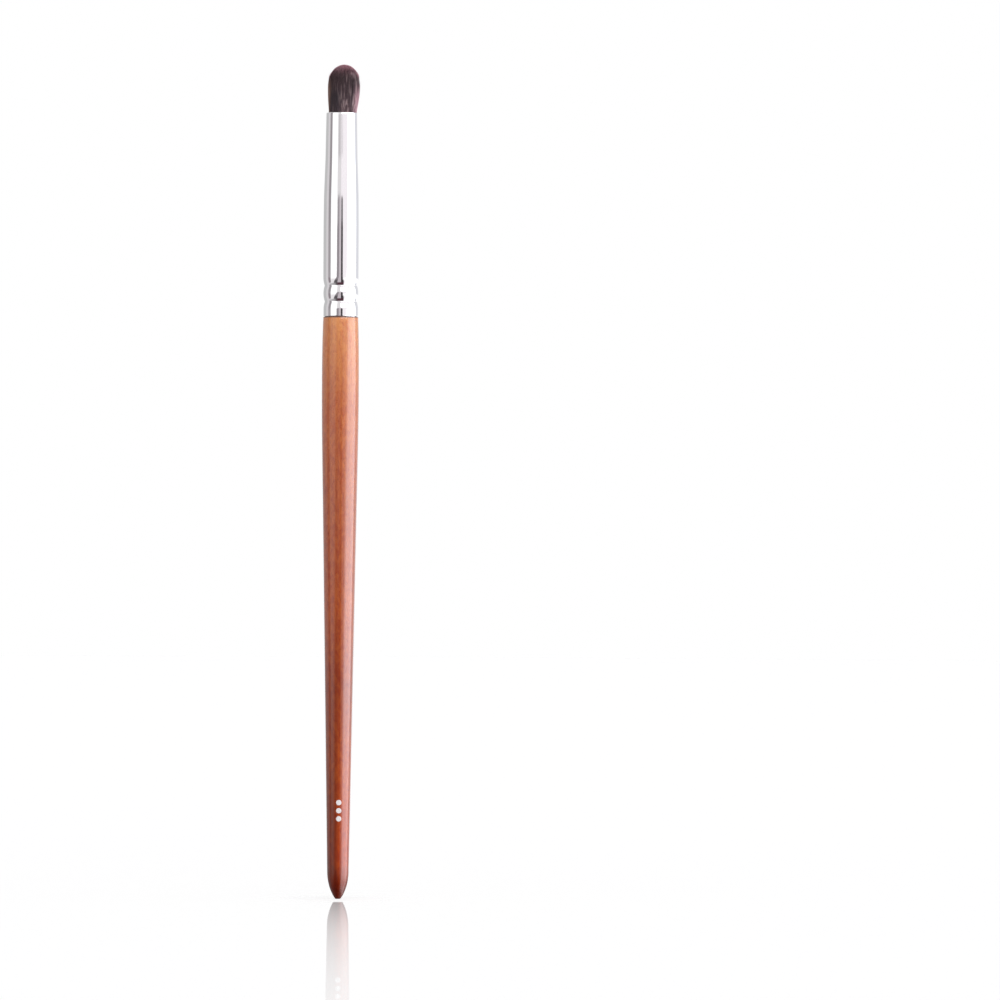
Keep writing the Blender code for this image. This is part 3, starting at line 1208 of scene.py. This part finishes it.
@dataclass
class InkDots:
    """A plain row of printed dots near the butt, where a handle is marked."""

    handle: Handle
    count: int = 3
    spacing: float = 0.00175
    first_height: float = 0.0174
    dot_radius: float = 0.00058
    turn: float = math.radians(4)
    ink_depth: float = 0.000016
    proud_share: float = 0.25
    edge_angle: float = math.radians(60)
    sides: int = 40
    inner_rings: int = 5

    def build(self) -> None:
        """Lays flat dots in a row and wraps them onto the handle."""
        grower = Grower("ink_dots")
        recipe = grower.recipe
        count = grower.size("Dots", self.count)
        radius = grower.size("Dot radius", self.dot_radius)
        spacing = grower.size("Spacing", self.spacing)
        sockets = {"Count": count, "Offset": recipe.vector(0.0, 0.0, spacing)}
        row = recipe.node("GeometryNodeMeshLine", None, sockets)
        sockets = {
            "Vertices": self.sides,
            "Side Segments": 1,
            "Fill Segments": self.inner_rings,
            "Radius": radius,
            "Depth": self.ink_depth,
        }
        dot = recipe.node("GeometryNodeMeshCylinder", None, sockets, out="Mesh")
        turned = {"Points": row, "Instance": dot, "Rotation": (QUARTER_TURN, 0.0, 0.0)}
        dots = recipe.node("GeometryNodeInstanceOnPoints", None, turned)
        real = recipe.node("GeometryNodeRealizeInstances", None, {"Geometry": dots})
        across, lift, up = recipe.split(recipe.node("GeometryNodeInputPosition"))
        height = up + self.first_height
        wood = self.handle.nose_radius + self.handle.slope * (height - self.handle.nose_length)
        reach = wood - lift + self.ink_depth * self.proud_share
        angle = across / wood + self.turn
        place = recipe.vector(reach * angle.apply("SINE"), 0.0 - reach * angle.apply("COSINE"), height)
        piece = grower.grow(grower.moved(real, place), PaleInk().dress())
        piece.data.set_sharp_from_angle(angle=self.edge_angle)
        hand_over(piece, Slot.WOOD)


@dataclass(frozen=True)
class HairLayer:
    """One layer of free hair: how many hairs, and how far out they stand."""

    name: str
    hairs: int
    points: int
    inner_share: float
    outer_share: float
    thickness: float
    frizz: float
    seed: int
    paleness: float = 0.0


@dataclass
class Tuft:
    """The hair: a bundle of roots in the ferrule, and thousands of free hairs that form the dome."""

    ferrule: Ferrule
    root_end: float = 0.14482
    waist_foot: float = 0.14922
    waist_top: float = 0.15322
    waist_slope: float = 0.0008
    waist_margin: float = 0.0003
    flare: float = 0.0030
    thread_radius: float = 0.0002
    thread_room: float = 0.00025
    root_wall: float = 0.00035
    slice_recess: float = 0.0009
    ridges: tuple[tuple[int, float], ...] = ((37, 0.0), (53, 1.3), (71, 2.1))
    ridge_height: float = 0.000012
    ridge_inset: float = 0.00003
    slope_steps: int = 6
    flare_steps: int = 12
    bore_steps: int = 30
    sunk: float = 0.0014
    length: float = 0.01045
    dome: float = 0.0039
    mouth_radius: float = 0.00295
    belly_radius: float = 0.00339
    belly_rise: float = 0.0050
    gather: float = 0.94
    gather_start: float = 0.9
    fullness: float = 2.0
    fullest_share: float = 0.97
    seed_jitter: float = 0.6
    jitter_share: float = 0.02
    lean_at_mouth: float = 0.00018
    lean_at_top: float = 0.00054
    lean_power: float = 0.6
    lock_size: float = 0.0007
    lock_density: float = 1.6
    pull_density: float = 0.8
    pull_middle: float = 0.62
    lock_bend: float = 0.00024
    shorter: float = 0.00050
    shorter_power: float = 3.0
    girths: Span = (0.75, 1.2)
    tip_taper: float = 0.7
    taper_span: Span = (0.7, 1.0)
    hair_sides: int = 3
    tone: str = "hair_tone"
    facets: int = 180
    layers: tuple[HairLayer, ...] = (
        HairLayer("hair_core", 3000, 7, 0.0, 0.62, 0.000085, 0.00003, 11),
        HairLayer("hair_mantle", 3300, 9, 0.60, 0.88, 0.000075, 0.00004, 23),
        HairLayer("hair_skin", 3400, 10, 0.86, 1.0, 0.000062, 0.00005, 37),
        HairLayer("hair_fuzz", 1200, 12, 0.88, 1.0, 0.000050, 0.00024, 53, 0.85),
    )

    def roots_outline(self) -> list[Ring]:
        """The section of the root bundle: roots, waist under the thread, flare and sliced top.

        Returns:
            Rings from the lowest root to the sliced top.
        """
        ferrule = self.ferrule
        resin_top = self.waist_foot - ferrule.foot
        root_radius = ferrule.lining(resin_top) - self.root_wall - FIT_GAP
        coil_top = self.waist_top - self.waist_margin - ferrule.foot
        waist_radius = ferrule.lining(coil_top) - self.thread_room - 2 * self.thread_radius - FIT_GAP
        flared = self.waist_top - ferrule.foot + self.flare
        rings = [(root_radius, self.root_end), (root_radius, self.waist_foot - self.waist_slope)]
        for share in steps(0.0, 1.0, self.slope_steps)[1:]:
            height = self.waist_foot - self.waist_slope * (1 - share)
            rings.append((blend(root_radius, waist_radius, smooth(share)), height))
        rings.append((waist_radius, self.waist_top))
        for share in steps(0.0, 1.0, self.flare_steps)[1:]:
            height = blend(self.waist_top, ferrule.foot + flared, share)
            rings.append((blend(waist_radius, ferrule.lining(flared), smooth(share)), height))
        for height in steps(flared, ferrule.length - self.slice_recess, self.bore_steps)[1:]:
            rings.append((ferrule.lining(height), ferrule.foot + height))
        return rings

    def fibres(self, angle: float) -> float:
        """The fine ridges that single hairs leave round the root bundle."""
        waves = sum(math.sin(count * angle + phase) for count, phase in self.ridges)
        return self.ridge_height * waves - self.ridge_inset

    def build_roots(self) -> None:
        """Makes the bundle of roots inside the ferrule."""
        mesh = Lathe(self.facets, self.fibres).turn("hair_roots", self.roots_outline())
        piece = add_piece("hair_roots", mesh, PACKED_ROOTS.dress())
        mesh.set_sharp_from_angle(angle=SHARP_ANGLE)
        hand_over(piece, Slot.HAIR, "bristle_tuft")

    def tip_height(self, root_share: Wire) -> Wire:
        """Height above the mouth of the dome's surface, where a hair of full length ends.

        Args:
            root_share: How far out the hair stands, from 0 to 1.

        Returns:
            The height.
        """
        out = (root_share * self.gather).limited(0.0, self.fullest_share)
        inside = (1.0 - out**self.fullness) ** (1 / self.fullness)
        return self.length - self.dome + self.dome * inside

    def reach(self, height: Wire, tip: Wire) -> Wire:
        """Radius of the tuft at a height: it swells out of the mouth and gathers near the tip.

        Args:
            height: Height above the mouth.
            tip: Height of the hair's own tip.

        Returns:
            The radius there.
        """
        belly = (height / self.belly_rise).limited(0.0, 1.0) * QUARTER_TURN
        reach = self.mouth_radius + (self.belly_radius - self.mouth_radius) * belly.apply("SINE")
        gathered = height.eased((self.length - self.dome) * self.gather_start, tip)
        return reach * (1.0 - (1.0 - self.gather) * gathered)

    def grow_layer(self, layer: HairLayer, material: bpy.types.Material) -> bpy.types.Object:
        """Grows one layer of hair, laid out like the seeds of a sunflower.

        Args:
            layer: The layer's sizes.
            material: The hair's finish.

        Returns:
            The layer as one piece.
        """
        grower = Grower(layer.name)
        recipe = grower.recipe
        hairs = grower.size("Hairs", layer.hairs)
        points = grower.size("Points in a hair", layer.points)
        inner = grower.size("Inner share", layer.inner_share)
        outer = grower.size("Outer share", layer.outer_share)
        thickness = grower.size("Thickness", layer.thickness)
        frizz = grower.size("Frizz", layer.frizz)
        every, number, step = grower.lines(hairs, points)
        along = step / (points - 1.0)
        ring = (number + 0.5) / hairs
        root_share = (inner * inner + (outer * outer - inner * inner) * ring).apply("SQRT")
        jitter = recipe.random(-self.seed_jitter, self.seed_jitter, number, layer.seed)
        turn = number * GOLDEN_ANGLE + jitter / (hairs * self.jitter_share)
        east = turn.apply("COSINE")
        north = turn.apply("SINE")
        spot = recipe.vector(root_share * east, root_share * north, 0.0)
        lock_scale = self.belly_radius / self.lock_size
        lock = recipe.noise(spot, lock_scale * self.lock_density, detail=2.0, roughness=0.65)
        mirrored = recipe.stretched(spot, (1.0, -1.0, 1.0))
        lock_pull = recipe.noise(mirrored, lock_scale * self.pull_density, detail=1.0)
        cut = recipe.random(0.0, 1.0, number, layer.seed + 1) ** self.shorter_power
        tip = self.tip_height(root_share) - self.shorter * cut
        height = along * (tip + self.sunk) - self.sunk
        pull = self.lock_bend * (lock_pull - self.pull_middle) * along * along
        stray = recipe.random(-1.0, 1.0, number, layer.seed + 2) * frizz * along * along
        sway = recipe.random(-1.0, 1.0, number, layer.seed + 3) * frizz * along
        out = root_share * self.reach(height, tip) + pull + stray
        risen = (height / self.length).limited(0.0, 1.0) ** self.lean_power
        lean = self.lean_at_mouth + (self.lean_at_top - self.lean_at_mouth) * risen
        x = out * east - sway * north + lean
        y = out * north + sway * east
        bent = grower.moved(every, recipe.vector(x, y, height + self.ferrule.mouth))
        single = recipe.random(layer.paleness, 1.0, number, layer.seed + 4)
        sockets = {"Geometry": bent, "Name": self.tone, "Value": recipe.vector(single, lock, along)}
        settings = {"data_type": "FLOAT_VECTOR", "domain": "POINT"}
        toned = recipe.node("GeometryNodeStoreNamedAttribute", settings, sockets)
        girth = recipe.random(*self.girths, number, layer.seed + 5)
        taper = 1.0 - self.tip_taper * along.eased(*self.taper_span)
        return grower.grow(grower.tubes(toned, self.hair_sides, 0.5, thickness * girth * taper), material)

    def build(self) -> None:
        """Makes the roots and every layer of free hair."""
        self.build_roots()
        foot = self.ferrule.mouth
        top = foot + self.length
        material = SoftHair(self.tone, foot, top - self.dome, top, self.belly_radius).dress()
        for layer in self.layers:
            hand_over(self.grow_layer(layer, material), Slot.HAIR, "bristle_tuft")


@dataclass
class BindingThread:
    """The thread round the waist of the roots: plies twisted together and wound in turns."""

    ferrule: Ferrule
    first_height: float = 0.14952
    turns: int = 4
    pitch: float = 0.00085
    room: float = 0.00025
    thread_radius: float = 0.0002
    ply_radius: float = 0.000095
    plies: int = 3
    points_per_turn: int = 72
    twists_per_turn: float = 9.0
    ply_sides: int = 7

    def build(self) -> None:
        """Winds the thread and ties it to the frame."""
        top = self.first_height + self.turns * self.pitch
        coil_radius = self.ferrule.lining(top - self.ferrule.foot) - self.room - self.thread_radius
        grower = Grower("binding_thread_plies")
        plies = grower.size("Plies", self.plies)
        points = grower.size("Points in a ply", self.turns * self.points_per_turn + 1)
        winding = grower.size("Coil radius", coil_radius)
        pitch = grower.size("Pitch", self.pitch)
        ply = grower.size("Ply radius", self.ply_radius)
        every, number, step = grower.lines(plies, points)
        wound = step / float(self.points_per_turn)
        angle = wound * math.tau
        twist = angle * self.twists_per_turn + number * (math.tau / self.plies)
        offset = self.thread_radius - self.ply_radius
        reach = winding + twist.apply("COSINE") * offset
        height = self.first_height + pitch * wound + twist.apply("SINE") * offset
        place = grower.recipe.vector(reach * angle.apply("COSINE"), reach * angle.apply("SINE"), height)
        tubes = grower.tubes(grower.moved(every, place), self.ply_sides, 1.0, ply)
        hand_over(grower.grow(tubes, WAXED_THREAD.dress()), Slot.THREAD, "binding_thread")


@dataclass
class InnerFillings:
    """The cast pieces inside the ferrule, whose CAD shapes stay and get their own finish."""

    nodes: Mapping[str, bpy.types.Object]

    def build(self) -> None:
        """Dresses the resin plug and the glue."""
        resin = CuredResin("root_resin", swatch("c08a3c"), swatch("d9b06a"))
        glue = CuredResin("tenon_glue", swatch("d9c98e"), swatch("efe6c4"))
        for name, finish, slot in (("root_resin_plug", resin, Slot.RESIN), ("tenon_glue", glue, Slot.GLUE)):
            node = self.nodes[name]
            material = finish.dress()
            for place in node.material_slots:
                place.material = material
            LOG.info("%s: dressed in %s", name, material.name)


# Studio


@dataclass(frozen=True)
class LightPanel:
    """One upright panel of light or shade round the brush, as seen from it.

    Turns are in degrees from the camera's side, positive to its right, and tilts are above the horizon.
    A lean shifts an edge by that many degrees for each degree of tilt.
    """

    name: str
    left: float
    right: float
    glow: float
    tint: Colour = WHITE
    bottom: float = -95.0
    top: float = 95.0
    edge: float = 2.5
    left_lean: float = 0.0
    right_lean: float = 0.0

    def cover(self, turn: Wire, tilt: Wire, lean: Wire) -> Wire:
        """How fully the panel covers a direction.

        Args:
            turn: The direction's turn.
            tilt: The direction's tilt.
            lean: The tilt that leaning edges follow.

        Returns:
            A value from 0 to 1.
        """
        left = turn - lean * self.left_lean - self.left if self.left_lean else turn - self.left
        right = turn - lean * self.right_lean - self.right if self.right_lean else turn - self.right
        cover = left.eased(-self.edge, self.edge) * right.eased(self.edge, -self.edge)
        if self.bottom > -ZENITH:
            cover = cover * tilt.eased(self.bottom - self.edge, self.bottom + self.edge)
        if self.top < ZENITH:
            cover = cover * tilt.eased(self.top + self.edge, self.top - self.edge)
        return cover

    def colour(self) -> Colour:
        """The panel's light."""
        return (self.tint[0] * self.glow, self.tint[1] * self.glow, self.tint[2] * self.glow, 1.0)


@dataclass
class Studio:
    """White floor and background, soft panels of light, and the camera."""

    lens: float = 216.7
    sensor: float = 36.0
    camera_place: Triple = (0.0346, -1.3, 0.0863)
    camera_roll: float = 0.0051
    nearest: float = 0.01
    farthest: float = 20.0
    floor_radius: float = 2.0
    floor_facets: int = 160
    floor_white: Colour = (0.50, 0.50, 0.50, 1.0)
    floor_lift: float = 0.632
    mirror_strength: float = 0.68
    mirror_fade: float = 0.150
    mirror_start: Span = (0.008, 0.013)
    mirror_grazing: Span = (0.70, 0.90)
    lean_tilts: Span = (-20.0, 8.0)
    lean_down_share: float = 0.6
    panels: tuple[LightPanel, ...] = (
        LightPanel("upper shade", -200, 200, 0.15, bottom=52, edge=6.0),
        LightPanel("left return", -160, -110, 0.56, top=40),
        LightPanel("left rim", -110, -70, 0.70, (1.0, 0.96, 0.98, 1.0), top=40),
        LightPanel("left gap", -90, -70, 0.34, (1.0, 0.92, 0.96, 1.0), bottom=1.4, top=40, edge=1.8),
        LightPanel("left gap, low", -90, -70, 0.30, (1.0, 0.86, 0.92, 1.0), bottom=-18, top=1.4, edge=1.8),
        LightPanel("left box", -67, -23, 1.22, bottom=-60, top=40),
        LightPanel("left box, low", -67, -23, 0.88, (1.0, 0.97, 0.98, 1.0), top=-4, edge=4.0),
        LightPanel("grey stripe", -29, -12, 0.30, MAUVE, edge=1.5, left_lean=1.6, right_lean=0.8),
        LightPanel("left leg", -29, -12, 0.12, MAUVE, top=-10, edge=5.0, left_lean=1.6, right_lean=0.8),
        LightPanel("pale stripe", -12, 1, 0.58, (1.0, 0.89, 0.95, 1.0), left_lean=0.8),
        LightPanel("upper haze", -32, 1, 0.80, (1.0, 0.97, 0.98, 1.0), bottom=5.0, edge=2.2, left_lean=1.0),
        LightPanel("front fill", 0, 58, 1.0, (1.0, 0.95, 0.98, 1.0), top=40),
        LightPanel("dark wedge", 1, 14.5, 0.06, (1.0, 0.85, 0.92, 1.0), top=4.6, edge=1.4, right_lean=-0.6),
        LightPanel("front top", 2, 50, 3.9, bottom=11, top=26, edge=3.0),
        LightPanel("right flank", 58, 118, 1.1, top=40),
        LightPanel("right rim", 104, 124, 0.90, top=40, edge=6.0),
        LightPanel("right box", 46, 111, 4.1, COOL, bottom=-40, top=16, edge=6.0, left_lean=0.6),
        LightPanel("front glow", 15, 40, 1.4, bottom=-9, top=-3.5, edge=6.0),
        LightPanel("right glow", 37, 113, 6.2, COOL, bottom=-40, top=-3.5, edge=6.5),
        LightPanel("right return", 116, 160, 0.76, (1.0, 1.01, 1.06, 1.0), top=40, edge=6.0),
        LightPanel("right return, low", 112, 165, 1.4, bottom=-8, top=-1.0, edge=3.0),
        LightPanel("low shade", -25, 21, 0.09, (1.0, 0.45, 0.6, 1.0), top=-23.0, edge=2.5),
        LightPanel("low left shade", -100, -38, 0.36, (1.0, 0.95, 0.97, 1.0), top=-23, edge=4.0),
    )

    def light_world(self) -> None:
        """Builds the world: panels for what the brush reflects, plain white for the camera."""
        world = bpy.data.worlds.new("studio")
        bpy.context.scene.world = world
        world.use_nodes = True
        world.node_tree.nodes.clear()
        recipe = Recipe(world.node_tree)
        x, y, z = recipe.split(recipe.node("ShaderNodeTexCoord", None, None, out="Generated"))
        turn = recipe.math("ARCTAN2", x, 0.0 - y).apply("DEGREES")
        tilt = z.limited(-1.0, 1.0).apply("ARCSINE").apply("DEGREES")
        lowest, highest = self.lean_tilts
        lean = tilt.limited(0.0, highest) + tilt.limited(lowest, 0.0) * self.lean_down_share
        light: Wire | Colour = WHITE
        for panel in self.panels:
            light = recipe.mix(panel.cover(turn, tilt, lean), light, panel.colour())
            LOG.info("panel: %s", panel.name)
        lit = recipe.node("ShaderNodeBackground", None, {"Color": light, "Strength": 1.0})
        seen = recipe.node("ShaderNodeBackground", None, {"Color": WHITE, "Strength": 1.0})
        camera = recipe.node("ShaderNodeLightPath", None, None, out="Is Camera Ray")
        both = recipe.node("ShaderNodeMixShader", None, {0: camera, 1: lit, 2: seen})
        output = world.node_tree.nodes.new("ShaderNodeOutputWorld")
        recipe.feed(output.inputs["Surface"], both)

    def floor_finish(self) -> bpy.types.Material:
        """White floor that keeps the shadow, and at a flat angle a mirror image that fades outwards.

        Returns:
            The floor's material.
        """
        material = bpy.data.materials.new("white_floor")
        material.use_nodes = True
        material.node_tree.nodes.clear()
        recipe = Recipe(material.node_tree)
        x, y, _ = recipe.split(recipe.node("ShaderNodeTexCoord", None, None, out="Object"))
        away = (x * x + y * y).apply("SQRT")
        fade = (away * (-1.0 / self.mirror_fade)).apply("EXPONENT") * self.mirror_strength
        facing = recipe.node("ShaderNodeLayerWeight", None, {"Blend": 0.5}, out="Facing")
        shine = fade * away.eased(*self.mirror_start) * facing.eased(*self.mirror_grazing)
        paint = recipe.node("ShaderNodeBsdfDiffuse", None, {"Color": self.floor_white})
        path = recipe.node("ShaderNodeLightPath", None, None, out="Is Camera Ray")
        lift = recipe.node("ShaderNodeEmission", None, {"Color": WHITE, "Strength": path * self.floor_lift})
        matt = recipe.node("ShaderNodeAddShader", None, {0: paint, 1: lift})
        mirror = recipe.node("ShaderNodeBsdfGlossy", None, {"Color": WHITE, "Roughness": 0.0})
        both = recipe.node("ShaderNodeMixShader", None, {0: shine, 1: matt, 2: mirror})
        output = material.node_tree.nodes.new("ShaderNodeOutputMaterial")
        recipe.feed(output.inputs["Surface"], both)
        return material

    def lay_floor(self) -> None:
        """Lays the round white floor under the brush."""
        shape = bmesh.new()
        bmesh.ops.create_circle(shape, cap_ends=True, radius=self.floor_radius, segments=self.floor_facets)
        mesh = bpy.data.meshes.new("white_floor")
        shape.to_mesh(mesh)
        shape.free()
        floor = add_piece("white_floor", mesh, self.floor_finish())
        floor.visible_glossy = False

    def set_camera(self) -> None:
        """Places the camera level with the middle of the brush, a little to its right."""
        data = bpy.data.cameras.new("camera")
        data.lens = self.lens
        data.sensor_width = self.sensor
        data.clip_start = self.nearest
        data.clip_end = self.farthest
        camera = bpy.data.objects.new("camera", data)
        turned = Matrix.Rotation(QUARTER_TURN, 4, "X") @ Matrix.Rotation(self.camera_roll, 4, "Z")
        camera.matrix_world = Matrix.Translation(Vector(self.camera_place)) @ turned
        bpy.context.scene.collection.objects.link(camera)
        bpy.context.scene.camera = camera

    def build(self) -> None:
        """Sets up the whole studio."""
        bpy.context.scene.view_settings.view_transform = "Standard"
        self.light_world()
        self.lay_floor()
        self.set_camera()


def main() -> None:
    """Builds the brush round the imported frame, from the handle up, and then the studio."""
    logging.basicConfig(level=logging.INFO, format="%(name)s: %(message)s")
    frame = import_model()
    ferrule = Ferrule()
    handle = Handle(ferrule)
    handle.build()
    InkDots(handle).build()
    ferrule.build()
    InnerFillings(frame["nodes"]).build()
    BindingThread(ferrule).build()
    Tuft(ferrule).build()
    Studio().build()


if __name__ == "__main__":
    main()
